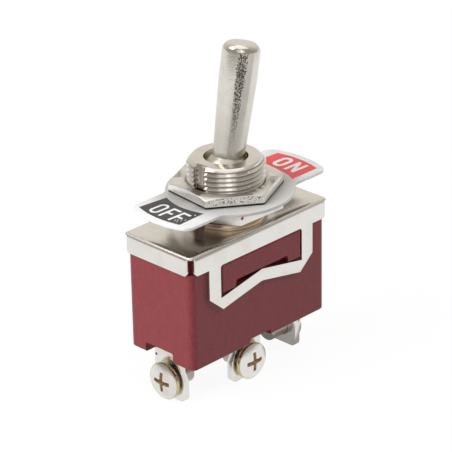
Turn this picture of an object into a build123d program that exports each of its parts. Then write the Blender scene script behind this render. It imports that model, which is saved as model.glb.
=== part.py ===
from build123d import *
import os
from math import cos, radians, sin, sqrt, tan

# Panel toggle switch, one pole and two ways, with screw terminals. Lengths are in millimetres.
# Z is the bushing's axis, and Z 0 is the top face of the cover plate.
# X runs along the housing towards the ON tab, and -Y is the side of the middle terminal.
# The switch stands as ON: the lever's top leans towards +X, and its tail towards -X.

# Cover frame, folded from steel sheet
sheet = 0.5
cover_length = 30.0
cover_width = 14.5
flange_depth = 3.15
bend_radius = 0.8               # outside of the bend
cover_corner_radius = 0.9
flange_gap = 1.0                # open corner: from the cover's outer edge to a flange's end
flange_gap_top = 0.4            # top face to the upper end of the open corner
flange_corner_radius = 0.5
strap_half_span = 11.2          # bushing axis to the outer edge of a strap's leg
strap_leg_width = 2.4
strap_shoulder_depth = 8.05     # top face to the outer corner of a leg
window_depth = 8.5              # top face to the low corners of the strap's window
window_corner_radius = 0.5
crimp_rise = 1.67               # how far the bar is bent up at its middle
crimp_bend_radius = 2.5
bar_height = 1.95
bar_corner_inset = 0.4          # the bar's low corners lie this far inside the window's

# Housing, moulded in phenolic
housing_depth = 19.0            # top face of the cover to the housing's underside
housing_corner_radius = 1.0
housing_foot_radius = 0.3
corner_relief = 0.8             # square cut behind each open corner of the cover
fold_clearance = 0.1            # between the housing's top edge and the inside of the fold
side_wall = 1.5
end_wall = 1.0
floor_depth = 13.5              # top face of the cover to the floor under the contacts
boss_clearance = 0.3            # between the boss and the strap's window
boss_rest_gap = 0.08            # between the boss's feet and the strap's bar
boss_edge_radius = 0.25
pocket_top_half_width = 5.5
pocket_foot_half_width = 5.9
pocket_room = 0.2               # over the crimped bar
pocket_bite = 0.6               # how deep the crimp pocket goes into the wall
end_notch_height = 1.6          # opening at the foot of an end wall, in front of the terminal
side_notch_height = 0.9         # the same in front of the middle terminal
side_notch_half_width = 2.3
notch_corner_radius = 0.35
slot_clearance = 0.1            # around a terminal in its slot

# Insulating sheet under the cover
insulator_thickness = 0.5
insulator_ledge = 0.4           # width of the ledge that it rests on
insulator_clearance = 0.1

# Threaded bushing
thread_radius = 6.0
pitch_radius = 5.8              # the stretch of thread that the nuts sit on
bushing_height = 9.6
bushing_chamfer = 0.8
neck_radius = 5.4               # through the cover plate
stake_radius = 5.9              # rolled rim under the cover plate
stake_height = 0.6
mouth_radius = 3.4
throat_radius = 3.3             # smaller than the ball, so that it keeps the lever in
lower_bore_radius = 4.3
seat_skirt = 2.0                # straight bore below the pivot, before it widens
bore_step = 1.0
keyway_width = 2.2
keyway_depth = 0.7

# Hexagon nuts
nut_across_flats = 15.3
lower_nut_thickness = 2.1
upper_nut_thickness = 1.65
nut_face_radius = 8.0           # flat ring on the chamfered face
nut_chamfer_angle = 25.0
thread_gap = 0.05               # between the threads of nut and bushing
lower_nut_angle = -2.0
upper_nut_angle = 24.0

# ON-OFF plate
plate_height = 4.0              # top face of the cover to the plate's underside
plate_thickness = 0.5
plate_disc_radius = 9.8
plate_reach = 15.95             # centre of the disc to the outer edge of a tab
plate_tab_half_width = 6.0
plate_corner_radius = 1.8
plate_root_radius = 2.0
plate_hole_clearance = 0.5      # the hole is loose on the thread
plate_offset_x = 0.2            # the nut holds the plate off centre, within that play
plate_offset_y = -0.6
plate_turn = -0.3
tongue_width = 0.9
tongue_length = 0.5             # how far the tongue reaches into the keyway

# Lever with its ball and hollow tail, measured from the pivot along the lever
pivot_height = 6.5
lever_tilt = 11.0
ball_radius = 3.8
ball_clearance = 0.08
shaft_root_radius = 2.4
shaft_tip_radius = 2.87
shaft_taper_end = 15.0
shaft_length = 20.55
tip_edge_radius = 1.3
tip_dome = 0.35
tail_radius = 2.3
tail_length = 12.6
tail_bore_radius = 1.55
tail_bore_top = 4.7
tail_clearance = 0.4            # between the tail and the insulator's slot
pin_radius = 0.75
pin_half_length = 4.6
pin_clearance = 0.05
pin_end_clearance = 0.1

# Plunger and its spring
plunger_radius = 1.48
plunger_shoulder = 9.3          # pivot to the shoulder that the spring pushes on
spigot_radius = 0.75
spigot_length = 1.2
spring_radius = 1.15
spring_wire_radius = 0.17
spring_turns = 5.5
plunger_gap = 0.11              # plunger to rocker with the lever upright

# Rocker, its silver rivets and the cradle that it tips in
rocker_thickness = 0.8
rocker_half_width = 2.2
rocker_knee = 4.2               # pivot to the bend in each arm
rocker_reach = 11.0
rocker_root_angle = 9.0
rocker_tilt = 6.0               # also the rise of the outer arms, so that a closed arm is level
trunnion_radius = 0.4
trunnion_clearance = 0.05
trunnion_engagement = 0.9       # how far a trunnion reaches into its ear
ear_half_width = 1.35
ear_lip = 0.7                   # the ear above the trunnion's axis
contact_centre = 9.4            # pivot to a moving rivet, in the rocker's own frame
contact_radius = 1.5
contact_head = 0.6
contact_shank_radius = 0.75
contact_gap = 0.05              # between closed rivets

# Terminals
terminal_thickness = 1.0
terminal_face = 12.8            # bushing axis to the outer face of an end terminal
terminal_offset = 0.5           # the end terminals stand this far off the middle, away from the third
middle_terminal_face = 3.95
terminal_neck_half_width = 2.8
terminal_blade_half_width = 3.5
terminal_neck_drop = 2.45       # the neck below the housing's underside
terminal_shoulder_drop = 1.3
terminal_blade_length = 3.55    # straight sides below the shoulders
terminal_corner_radius = 1.0
terminal_bend_radius = 0.9
shelf_end = 7.6                 # bushing axis to the free end of an end terminal's shelf

# Terminal screws
screw_edge_distance = 2.95      # a screw's axis to the tip of its terminal
screw_radius = 1.75
screw_hole_gap = 0.05
screw_length = 4.6
screw_chamfer = 0.3
screw_head_radius = 2.95
screw_rim = 0.55
screw_dome = 0.65
screw_stand_off = 0.45          # head to terminal, as the screws stand open for the wires
recess_width = 0.75
recess_length = 3.3
recess_depth = 0.9
recess_taper = 12.0

# Sizes and places that follow from those above
housing_length = cover_length - 2 * sheet
housing_width = cover_width - 2 * sheet
cavity_length = housing_length - 2 * end_wall
cavity_width = housing_width - 2 * side_wall
window_half_span = strap_half_span - strap_leg_width
boss_top_depth = flange_depth + boss_clearance / 2
boss_length = 2 * (window_half_span - boss_clearance)
bar_slope = crimp_rise / window_half_span
boss_depth = window_depth - crimp_rise + pocket_foot_half_width * bar_slope - boss_rest_gap
pocket_top_depth = window_depth - crimp_rise - pocket_room
bushing_foot = -sheet - stake_height
insulator_seat = bushing_foot - insulator_clearance - insulator_thickness
seat_radius = ball_radius + ball_clearance
pin_bore_radius = pin_radius + pin_clearance
plate_top = plate_height + plate_thickness
lower_nut_base = plate_height - lower_nut_thickness
upper_nut_top = plate_top + upper_nut_thickness
middle_terminal_back = middle_terminal_face - terminal_thickness
shelf_top = terminal_thickness - floor_depth
terminal_shoulder_depth = housing_depth + terminal_neck_drop
terminal_blade_depth = terminal_shoulder_depth + terminal_shoulder_drop
terminal_tip_depth = terminal_blade_depth + terminal_blade_length
screw_depth = terminal_tip_depth - screw_edge_distance
screw_hole_radius = screw_radius + screw_hole_gap

lean = radians(lever_tilt)
tilt = radians(rocker_tilt)
root_slope = radians(rocker_root_angle)
half_rocker = rocker_thickness / 2
knee_rise = rocker_knee * tan(root_slope)
contact_rise = knee_rise + (contact_centre - rocker_knee) * tan(tilt)
closed_arm_height = shelf_top + 2 * contact_head + contact_gap + half_rocker * cos(tilt)
rocker_height = closed_arm_height + rocker_knee * sin(tilt) - knee_rise * cos(tilt)
fixed_contact_x = contact_centre * cos(tilt) + (contact_rise - half_rocker) * sin(tilt)
cradle_top = rocker_height + ear_lip
plunger_end = (
    pivot_height - rocker_height - half_rocker - plunger_gap
    - plunger_radius / cos(root_slope)
)

# Names of the two ends, with the direction of each along X
ends = {"left": -1, "right": 1}

# Lever's plane: the pivot is its origin, and its local Y runs up the lever
lever_plane = Plane(
    origin=(0, 0, pivot_height),
    x_dir=(cos(lean), 0, -sin(lean)),
    z_dir=(0, -1, 0),
)
lever_axis = Axis(lever_plane.origin, lever_plane.y_dir)

# Rocker's plane: the trunnions' axis is its origin, and its -X arm is down
rocker_plane = Plane(
    origin=(0, 0, rocker_height),
    x_dir=(cos(tilt), 0, sin(tilt)),
    z_dir=(0, -1, 0),
)


def long_sides(distance):
    """The two upright planes at this distance from the middle, facing -Y and +Y."""
    return [
        Plane(origin=(0, side * distance, 0), x_dir=(-side, 0, 0), z_dir=(0, side, 0))
        for side in (-1, 1)
    ]


def end_plane(side, distance):
    """The upright plane on an end terminal's middle, at this distance, facing out of that end."""
    return Plane(
        origin=(side * distance, terminal_offset, 0), x_dir=(0, side, 0), z_dir=(side, 0, 0)
    )


def arm_underside(side):
    """The plane under an arm of the rocker, facing down, with the rivet's centre as its origin."""
    down = rocker_plane.x_dir * (side * sin(tilt)) - rocker_plane.y_dir * cos(tilt)
    centre = rocker_plane.from_local_coords((side * contact_centre, contact_rise - half_rocker, 0))
    return Plane(origin=centre, x_dir=(0, 1, 0), z_dir=down)


os.makedirs("parts", exist_ok=True)


# Cover frame: a top plate, four short flanges and a strap loop on each long side
with BuildPart() as cover_frame:
    with BuildSketch():
        RectangleRounded(cover_length, cover_width, cover_corner_radius)
    extrude(amount=-flange_depth)
    fillet(cover_frame.faces().sort_by(Axis.Z)[-1].edges(), bend_radius)
    offset(amount=-sheet, openings=cover_frame.faces().sort_by(Axis.Z)[0])
    with BuildSketch(Plane.XY.offset(-flange_gap_top)):
        with GridLocations(cover_length, cover_width, 2, 2):
            Rectangle(2 * flange_gap, 2 * flange_gap)
    extrude(amount=-flange_depth, mode=Mode.SUBTRACT)
    for direction in (Axis.X, Axis.Y):
        low_edges = cover_frame.edges().filter_by(direction).group_by(Axis.Z)[0]
        fillet(low_edges.filter_by(lambda edge: edge.length < 2 * sheet), flange_corner_radius)
    for wall in long_sides(housing_width / 2):
        with BuildSketch(wall) as strap:
            with BuildLine():
                Polyline(
                    (-strap_half_span, -bend_radius),
                    (-strap_half_span, -strap_shoulder_depth),
                    (bar_corner_inset - window_half_span, -window_depth - bar_height),
                    (0, crimp_rise - window_depth - bar_height),
                    (window_half_span - bar_corner_inset, -window_depth - bar_height),
                    (strap_half_span, -strap_shoulder_depth),
                    (strap_half_span, -bend_radius),
                    close=True,
                )
            make_face()
            fillet(strap.vertices().filter_by(lambda point: abs(point.X) < sheet), crimp_bend_radius)
        extrude(amount=sheet)
        with BuildSketch(wall) as window:
            with BuildLine():
                Polyline(
                    (-window_half_span, -flange_depth),
                    (-window_half_span, -window_depth),
                    (0, crimp_rise - window_depth),
                    (window_half_span, -window_depth),
                    (window_half_span, -flange_depth),
                    close=True,
                )
            make_face()
            fillet(window.vertices().group_by(Axis.Y)[-1], window_corner_radius)
        extrude(amount=sheet, mode=Mode.SUBTRACT)
    with BuildSketch(Plane.XY.offset(-sheet)):
        Circle(neck_radius)
    extrude(amount=sheet, mode=Mode.SUBTRACT)
cover_frame.part.label = "cover_frame"
export_step(cover_frame.part, "parts/cover_frame.step")


# Housing: one moulding with a cavity for the works and a boss under each strap
with BuildPart() as housing:
    with BuildSketch(Plane.XY.offset(-housing_depth)):
        RectangleRounded(housing_length, housing_width, housing_corner_radius)
    extrude(amount=housing_depth - sheet)
    fillet(housing.faces().sort_by(Axis.Z)[0].edges(), housing_foot_radius)
    fillet(housing.faces().sort_by(Axis.Z)[-1].edges(), bend_radius - sheet + fold_clearance)
    with BuildSketch(Plane.XY.offset(-flange_depth)):
        with GridLocations(housing_length, housing_width, 2, 2):
            Rectangle(2 * corner_relief, 2 * corner_relief)
    extrude(amount=flange_depth, mode=Mode.SUBTRACT)
    for wall in long_sides(housing_width / 2 - pocket_bite):
        with BuildSketch(wall):
            with Locations((0, -boss_top_depth)):
                Rectangle(
                    boss_length, boss_depth - boss_top_depth, align=(Align.CENTER, Align.MAX)
                )
        extrude(amount=pocket_bite + sheet)
        outward = Axis(wall.origin, wall.z_dir)
        fillet(housing.faces().sort_by(outward)[-1].edges(), boss_edge_radius)
        with BuildSketch(wall):
            with BuildLine():
                Polyline(
                    (-pocket_foot_half_width, -boss_depth),
                    (-pocket_top_half_width, -pocket_top_depth),
                    (pocket_top_half_width, -pocket_top_depth),
                    (pocket_foot_half_width, -boss_depth),
                    close=True,
                )
            make_face()
        extrude(amount=pocket_bite + sheet, mode=Mode.SUBTRACT)
    with BuildSketch(Plane.XY.offset(-floor_depth)):
        Rectangle(cavity_length, cavity_width)
    extrude(amount=floor_depth, mode=Mode.SUBTRACT)
    with BuildSketch(Plane.XY.offset(insulator_seat)):
        Rectangle(cavity_length + 2 * insulator_ledge, cavity_width + 2 * insulator_ledge)
    extrude(amount=-insulator_seat, mode=Mode.SUBTRACT)
    with BuildSketch(Plane.XY.offset(insulator_seat)):
        Circle(stake_radius + insulator_clearance)
    extrude(amount=-insulator_seat, mode=Mode.SUBTRACT)
    slot_width = 2 * (terminal_neck_half_width + slot_clearance)
    slot_thickness = terminal_thickness + 2 * slot_clearance
    with BuildSketch(Plane.XY.offset(-housing_depth)):
        for side in ends.values():
            with Locations((side * (terminal_face - terminal_thickness / 2), terminal_offset)):
                Rectangle(slot_thickness, slot_width)
        with Locations((0, terminal_thickness / 2 - middle_terminal_face)):
            Rectangle(slot_width, slot_thickness)
    extrude(amount=housing_depth - floor_depth, mode=Mode.SUBTRACT)
    notches = [
        (end_plane(side, terminal_face), housing_length / 2, slot_width, end_notch_height)
        for side in ends.values()
    ]
    notches.append((
        long_sides(middle_terminal_face)[0], housing_width / 2,
        2 * side_notch_half_width, side_notch_height,
    ))
    for inner_face, wall_distance, width, height in notches:
        with BuildSketch(inner_face) as notch:
            with Locations((0, -housing_depth)):
                Rectangle(width, height, align=(Align.CENTER, Align.MIN))
            fillet(notch.vertices().group_by(Axis.Y)[-1], notch_corner_radius)
        extrude(amount=wall_distance, mode=Mode.SUBTRACT)
housing.part.label = "housing"
export_step(housing.part, "parts/housing.step")


# Insulator: a fibre sheet on the housing's ledge, with a slot for the lever's tail
with BuildPart() as insulator:
    tail_swing = (pivot_height - insulator_seat) * tan(lean) + tail_radius / cos(lean)
    edge_room = 2 * (insulator_ledge - insulator_clearance)
    with BuildSketch(Plane.XY.offset(insulator_seat)):
        Rectangle(cavity_length + edge_room, cavity_width + edge_room)
        SlotOverall(
            2 * (tail_swing + tail_clearance),
            2 * (tail_radius + tail_clearance),
            mode=Mode.SUBTRACT,
        )
    extrude(amount=insulator_thickness)
insulator.part.label = "insulator"
export_step(insulator.part, "parts/insulator.step")


# Bushing: turned, staked into the cover, with a keyway and two inner grooves for the pin
with BuildPart() as bushing:
    throat_rise = sqrt(seat_radius**2 - throat_radius**2)
    throat_angle = Vector(1, 0).get_angle(Vector(throat_radius, throat_rise))
    with BuildSketch(Plane.XZ):
        with BuildLine():
            seat = CenterArc((0, pivot_height), seat_radius, 0, throat_angle)
            Polyline(
                seat @ 1,
                (mouth_radius, bushing_height),
                (thread_radius - bushing_chamfer, bushing_height),
                (thread_radius, bushing_height - bushing_chamfer),
                (thread_radius, upper_nut_top),
                (pitch_radius, upper_nut_top),
                (pitch_radius, lower_nut_base),
                (thread_radius, lower_nut_base),
                (thread_radius, 0),
                (neck_radius, 0),
                (neck_radius, -sheet),
                (stake_radius, -sheet),
                (stake_radius, bushing_foot),
                (lower_bore_radius, bushing_foot),
                (lower_bore_radius, pivot_height - seat_skirt - bore_step),
                (seat_radius, pivot_height - seat_skirt),
                seat @ 0,
            )
        make_face()
    revolve(axis=Axis.Z)
    with BuildSketch(Plane.XY.offset(bushing_height)):
        with Locations((-thread_radius, 0)):
            Rectangle(2 * keyway_depth, keyway_width)
    extrude(amount=-bushing_height, mode=Mode.SUBTRACT)
    groove_reach = pin_half_length + pin_end_clearance
    with BuildSketch(Plane.XY.offset(bushing_foot)):
        Rectangle(2 * pin_bore_radius, 2 * groove_reach)
    extrude(amount=pivot_height - bushing_foot, mode=Mode.SUBTRACT)
    with BuildSketch(Plane.XZ):
        with Locations((0, pivot_height)):
            Circle(pin_bore_radius)
    extrude(amount=groove_reach, both=True, mode=Mode.SUBTRACT)
bushing.part.label = "bushing"
export_step(bushing.part, "parts/bushing.step")


# Two hexagon nuts, chamfered on their upper faces
nuts = {
    "lower_nut": (lower_nut_base, lower_nut_thickness, lower_nut_angle),
    "upper_nut": (plate_top, upper_nut_thickness, upper_nut_angle),
}
for name, (base, thickness, angle) in nuts.items():
    with BuildPart() as nut:
        with BuildSketch(Plane.XY.offset(base)):
            RegularPolygon(nut_across_flats / 2, 6, major_radius=False, rotation=angle)
        extrude(amount=thickness)
        with Locations((0, 0, base)):
            Cone(
                nut_face_radius + thickness / tan(radians(nut_chamfer_angle)),
                nut_face_radius,
                thickness,
                align=(Align.CENTER, Align.CENTER, Align.MIN),
                mode=Mode.INTERSECT,
            )
        with BuildSketch(Plane.XY.offset(base)):
            Circle(pitch_radius + thread_gap)
        extrude(amount=thickness, mode=Mode.SUBTRACT)
    nut.part.label = name
    export_step(nut.part, f"parts/{name}.step")


# ON-OFF plate: a disc with two tabs and a tongue that lies in the keyway
with BuildPart() as on_off_plate:
    plate_centre = Plane((plate_offset_x, plate_offset_y, plate_height))
    with BuildSketch(plate_centre.rotated((0, 0, plate_turn))) as plate:
        Circle(plate_reach)
        Rectangle(2 * plate_reach, 2 * plate_tab_half_width, mode=Mode.INTERSECT)
        fillet(plate.vertices(), plate_corner_radius)
        Circle(plate_disc_radius)
        roots = plate.vertices().filter_by(lambda point: abs(point.X) < plate_disc_radius)
        fillet(roots, plate_root_radius)
        Circle(thread_radius + plate_hole_clearance, mode=Mode.SUBTRACT)
        with Locations((tongue_length - thread_radius - plate_offset_x, 0)):
            Rectangle(
                tongue_length + 2 * plate_hole_clearance, tongue_width, align=(Align.MAX, Align.CENTER)
            )
    extrude(amount=plate_thickness)
on_off_plate.part.label = "on_off_plate"
export_step(on_off_plate.part, "parts/on_off_plate.step")


# Lever: shaft, ball and tail are one turned piece, bored from below for the spring
with BuildPart() as lever:
    dome_radius = (shaft_tip_radius**2 + tip_dome**2) / (2 * tip_dome)
    with BuildSketch(lever_plane) as half_lever:
        with BuildLine():
            dome = ThreePointArc(
                (-shaft_tip_radius, shaft_length - tip_dome),
                (0, shaft_length),
                (shaft_tip_radius, shaft_length - tip_dome),
                mode=Mode.PRIVATE,
            )
            dome_half = dome.trim(0.5, 1)
            add(dome_half)
            tail_start = Vector(tail_radius, -sqrt(ball_radius**2 - tail_radius**2))
            shaft_start = Vector(shaft_root_radius, sqrt(ball_radius**2 - shaft_root_radius**2))
            ThreePointArc(tail_start, (ball_radius, 0), shaft_start)
            Polyline(shaft_start, (shaft_tip_radius, shaft_taper_end), dome_half @ 1)
            Polyline(
                dome_half @ 0,
                (0, -tail_bore_top),
                (tail_bore_radius, -tail_bore_top),
                (tail_bore_radius, -tail_length),
                (tail_radius, -tail_length),
                tail_start,
            )
        make_face()
        fillet(half_lever.vertices().sort_by(Axis.Y)[-2], tip_edge_radius)
    revolve(axis=lever_axis)
    with BuildSketch(lever_plane):
        Circle(pin_bore_radius)
    extrude(amount=ball_radius, both=True, mode=Mode.SUBTRACT)
lever.part.label = "lever"
export_step(lever.part, "parts/lever.step")


# Pivot pin, across the ball and into the bushing's grooves
with BuildPart() as pivot_pin:
    with BuildSketch(lever_plane):
        Circle(pin_radius)
    extrude(amount=pin_half_length, both=True)
pivot_pin.part.label = "pivot_pin"
export_step(pivot_pin.part, "parts/pivot_pin.step")


# Plunger: a round tip, a shoulder and a spigot that centres the spring
with BuildPart() as plunger:
    with BuildSketch(lever_plane):
        with BuildLine():
            tip = CenterArc((0, -plunger_end), plunger_radius, -90, 90)
            Polyline(
                tip @ 1,
                (plunger_radius, -plunger_shoulder),
                (spigot_radius, -plunger_shoulder),
                (spigot_radius, spigot_length - plunger_shoulder),
                (0, spigot_length - plunger_shoulder),
                tip @ 0,
            )
        make_face()
    revolve(axis=lever_axis)
plunger.part.label = "plunger"
export_step(plunger.part, "parts/plunger.step")


# Plunger spring, between the end of the lever's bore and the plunger's shoulder
with BuildPart() as plunger_spring:
    coil_height = plunger_shoulder - tail_bore_top - 2 * spring_wire_radius
    with BuildLine():
        wire = Helix(
            pitch=coil_height / spring_turns,
            height=coil_height,
            radius=spring_radius,
            center=lever_plane.from_local_coords((0, spring_wire_radius - plunger_shoulder, 0)),
            direction=lever_plane.y_dir,
        )
    with BuildSketch(Plane(origin=wire @ 0, z_dir=wire % 0)):
        Circle(spring_wire_radius)
    sweep()
plunger_spring.part.label = "plunger_spring"
export_step(plunger_spring.part, "parts/plunger_spring.step")


# Rocker: a bent strip with two trunnions, which tips between the fixed contacts
with BuildPart() as rocker:
    tip_rise = knee_rise + (rocker_reach - rocker_knee) * tan(tilt)
    arm_line = [(0, 0), (rocker_knee, knee_rise), (rocker_reach, tip_rise)]
    middle_line = [(-x, z) for x, z in reversed(arm_line[1:])] + arm_line
    with BuildSketch(rocker_plane):
        with BuildLine():
            Polyline(
                *[(x, z + half_rocker) for x, z in middle_line],
                *[(x, z - half_rocker) for x, z in reversed(middle_line)],
                close=True,
            )
        make_face()
    extrude(amount=rocker_half_width, both=True)
    with BuildSketch(rocker_plane):
        Circle(trunnion_radius)
    extrude(amount=middle_terminal_back + trunnion_engagement, both=True)
    for side in ends.values():
        with BuildSketch(arm_underside(side)):
            Circle(contact_shank_radius)
        extrude(amount=-rocker_thickness, mode=Mode.SUBTRACT)
rocker.part.label = "rocker"
export_step(rocker.part, "parts/rocker.step")


# Silver rivets: one under each arm of the rocker and one on each end terminal's shelf
for name, side in ends.items():
    with BuildPart() as rocker_contact:
        with BuildSketch(arm_underside(side)):
            Circle(contact_radius)
        extrude(amount=contact_head)
        with BuildSketch(arm_underside(side)):
            Circle(contact_shank_radius)
        extrude(amount=-rocker_thickness * cos(tilt))
    rocker_contact.part.label = f"rocker_contact_{name}"
    export_step(rocker_contact.part, f"parts/rocker_contact_{name}.step")

    with BuildPart() as contact:
        with BuildSketch(Plane.XY.offset(-floor_depth)):
            with Locations((side * fixed_contact_x, 0)):
                Circle(contact_shank_radius)
        extrude(amount=terminal_thickness)
        with BuildSketch(Plane.XY.offset(shelf_top)):
            with Locations((side * fixed_contact_x, 0)):
                Circle(contact_radius)
        extrude(amount=contact_head)
    contact.part.label = f"contact_{name}"
    export_step(contact.part, f"parts/contact_{name}.step")


# Flat blank that all three terminals share: neck, shoulders and a blade with the screw's hole
with BuildSketch() as blank:
    with BuildLine():
        half_outline = Polyline(
            (0, shelf_top),
            (terminal_neck_half_width, shelf_top),
            (terminal_neck_half_width, -terminal_shoulder_depth),
            (terminal_blade_half_width, -terminal_blade_depth),
            (terminal_blade_half_width, -terminal_tip_depth),
            (0, -terminal_tip_depth),
        )
        mirror(half_outline, about=Plane.YZ)
    make_face()
    tip_corners = blank.vertices().group_by(Axis.Y)[0].filter_by(
        lambda point: abs(point.X) > terminal_neck_half_width
    )
    fillet(tip_corners, terminal_corner_radius)
    with Locations((0, -screw_depth)):
        Circle(screw_hole_radius, mode=Mode.SUBTRACT)


# Ear of the cradle, with an open notch for a trunnion
with BuildSketch() as ear:
    notch_radius = trunnion_radius + trunnion_clearance
    with Locations((0, shelf_top)):
        Rectangle(2 * ear_half_width, cradle_top - shelf_top, align=(Align.CENTER, Align.MIN))
    with Locations((0, rocker_height)):
        Circle(notch_radius, mode=Mode.SUBTRACT)
        Rectangle(2 * notch_radius, 2 * ear_lip, align=(Align.CENTER, Align.MIN), mode=Mode.SUBTRACT)


# End terminals: an outside blade, a neck in the housing's slot and a bent shelf inside
for name, side in ends.items():
    with BuildPart() as end_terminal:
        with BuildSketch(end_plane(side, terminal_face - terminal_thickness)):
            add(blank.sketch)
        extrude(amount=terminal_thickness)
        with BuildSketch(Plane.XY.offset(-floor_depth)):
            with Locations((side * (shelf_end + terminal_face) / 2, terminal_offset)):
                Rectangle(terminal_face - shelf_end, 2 * terminal_neck_half_width)
            with Locations((side * fixed_contact_x, 0)):
                Circle(contact_shank_radius, mode=Mode.SUBTRACT)
        extrude(amount=terminal_thickness)
        top_edges = end_terminal.edges().filter_by(Axis.Y).group_by(Axis.Z)[-1]
        outward = Axis((0, 0, 0), (side, 0, 0))
        fillet(top_edges.sort_by(outward)[-1], terminal_bend_radius)
    end_terminal.part.label = f"terminal_{name}"
    export_step(end_terminal.part, f"parts/terminal_{name}.step")


# Middle terminal: its inner end is a cradle, with one ear in line with the neck
with BuildPart() as terminal_middle:
    front, back = long_sides(middle_terminal_back)
    with BuildSketch(front):
        add(blank.sketch)
        add(ear.sketch)
    extrude(amount=terminal_thickness)
    with BuildSketch(Plane.XY.offset(-floor_depth)):
        Rectangle(2 * terminal_neck_half_width, 2 * middle_terminal_face)
        with Locations((0, -middle_terminal_back)):
            Rectangle(
                2 * ear_half_width,
                cradle_top - shelf_top,
                align=(Align.CENTER, Align.MIN),
                mode=Mode.SUBTRACT,
            )
    extrude(amount=terminal_thickness)
    shelf_edges = terminal_middle.edges().filter_by(Axis.X).filter_by_position(
        Axis.Z, shelf_top, shelf_top
    )
    fillet(shelf_edges.group_by(Axis.Y)[0], terminal_bend_radius)
    with BuildSketch(back):
        add(ear.sketch)
    extrude(amount=terminal_thickness)
terminal_middle.part.label = "terminal_middle"
export_step(terminal_middle.part, "parts/terminal_middle.step")


# Terminal screws with a cross recess; each plane faces out, at the underside of the head
screw_planes = {
    "screw_left": end_plane(-1, terminal_face + screw_stand_off),
    "screw_middle": long_sides(middle_terminal_face + screw_stand_off)[0],
    "screw_right": end_plane(1, terminal_face + screw_stand_off),
}
for name, facing in screw_planes.items():
    head = facing.shift_origin(facing.from_local_coords((0, -screw_depth, 0)))
    section = Plane(origin=head.origin, x_dir=head.x_dir, z_dir=-head.y_dir)
    with BuildPart() as screw:
        with BuildSketch(section):
            with BuildLine():
                crown = ThreePointArc(
                    (-screw_head_radius, screw_rim),
                    (0, screw_rim + screw_dome),
                    (screw_head_radius, screw_rim),
                    mode=Mode.PRIVATE,
                ).trim(0.5, 1)
                add(crown)
                Polyline(
                    crown @ 1,
                    (screw_head_radius, 0),
                    (screw_radius, 0),
                    (screw_radius, screw_chamfer - screw_length),
                    (screw_radius - screw_chamfer, -screw_length),
                    (0, -screw_length),
                    crown @ 0,
                )
            make_face()
        revolve(axis=Axis(head.origin, head.z_dir))
        with BuildSketch(head.offset(screw_rim + screw_dome)):
            Rectangle(recess_length, recess_width)
            Rectangle(recess_width, recess_length)
        extrude(amount=-recess_depth, taper=recess_taper, mode=Mode.SUBTRACT)
    screw.part.label = name
    export_step(screw.part, f"parts/{name}.step")
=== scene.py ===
import math

import bmesh
import bpy
from mathutils import Matrix, Vector


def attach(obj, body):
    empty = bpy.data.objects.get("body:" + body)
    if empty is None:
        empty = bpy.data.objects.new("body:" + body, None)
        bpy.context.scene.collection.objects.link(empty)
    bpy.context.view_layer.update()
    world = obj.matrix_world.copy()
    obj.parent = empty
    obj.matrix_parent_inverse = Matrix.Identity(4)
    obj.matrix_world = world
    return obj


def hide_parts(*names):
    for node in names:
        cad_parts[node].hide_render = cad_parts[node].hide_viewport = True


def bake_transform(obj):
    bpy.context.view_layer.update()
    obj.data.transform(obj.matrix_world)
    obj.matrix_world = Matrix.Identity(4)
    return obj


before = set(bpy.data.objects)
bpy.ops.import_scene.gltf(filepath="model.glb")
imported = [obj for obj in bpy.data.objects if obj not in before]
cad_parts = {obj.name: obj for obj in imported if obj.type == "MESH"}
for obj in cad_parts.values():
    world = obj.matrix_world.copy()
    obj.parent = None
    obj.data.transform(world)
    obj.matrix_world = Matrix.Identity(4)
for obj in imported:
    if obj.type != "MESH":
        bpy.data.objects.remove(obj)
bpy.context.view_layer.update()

# Panel toggle switch. Every imported CAD node gets its finish, with the stains and pits of the real one, and
# with painted shade and painted reflections on the nuts, bushing, screws, lever and plate.
# Copies of the outer pieces get broken edges, the bushing its thread, the upper nut its countersink and
# the plate its print. Lengths are in metres, and in millimetres where a finish asks where a point is.
# Z is the bushing's axis, and Z 0 is the top face of the cover.
MM = 0.001

# Sizes shared with the CAD model
PLATE_TOP = 4.5 * MM
PLATE_CENTRE = Vector((0.2 * MM, -0.6 * MM, 0))
THREAD_RADIUS = 6.0 * MM
BUSHING_TOP = 9.6 * MM
PIVOT = Vector((0, 0, 6.5 * MM))
LEVER_LEAN = math.radians(11.0)
FLOOR_LEVEL = -26.3 * MM


# Node helpers

def new_material(name, colour, roughness, metallic=0.0, **constants):
    """A material with one Principled shader, and the constants set on the shader's own sockets."""
    made = bpy.data.materials.new(name)
    made.use_nodes = True
    shader = made.node_tree.nodes["Principled BSDF"]
    shader.inputs["Base Color"].default_value = (*colour, 1)
    shader.inputs["Roughness"].default_value = roughness
    shader.inputs["Metallic"].default_value = metallic
    for socket, value in constants.items():
        shader.inputs[socket.replace("_", " ")].default_value = value
    return made


def shader_of(made):
    """The material's Principled shader."""
    return made.node_tree.nodes["Principled BSDF"]


def link(made, output, target):
    """A link between two sockets of a material or of the world."""
    made.node_tree.links.new(output, target)


def place(made, stretch=(1, 1, 1), turn=(0, 0, 0)):
    """The point on the object in millimetres, turned and stretched."""
    nodes = made.node_tree.nodes
    point = nodes.new("ShaderNodeTexCoord")
    mapping = nodes.new("ShaderNodeMapping")
    mapping.inputs["Rotation"].default_value = turn
    mapping.inputs["Scale"].default_value = [s / MM for s in stretch]
    link(made, point.outputs["Object"], mapping.inputs["Vector"])
    return mapping.outputs["Vector"]


def noise(made, point, scale, detail=3.0, roughness=0.55):
    """Noise from 0 to 1, with scale in turns per millimetre."""
    node = made.node_tree.nodes.new("ShaderNodeTexNoise")
    node.inputs["Scale"].default_value = scale
    node.inputs["Detail"].default_value = detail
    node.inputs["Roughness"].default_value = roughness
    link(made, point, node.inputs["Vector"])
    return node.outputs["Fac"]


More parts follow.
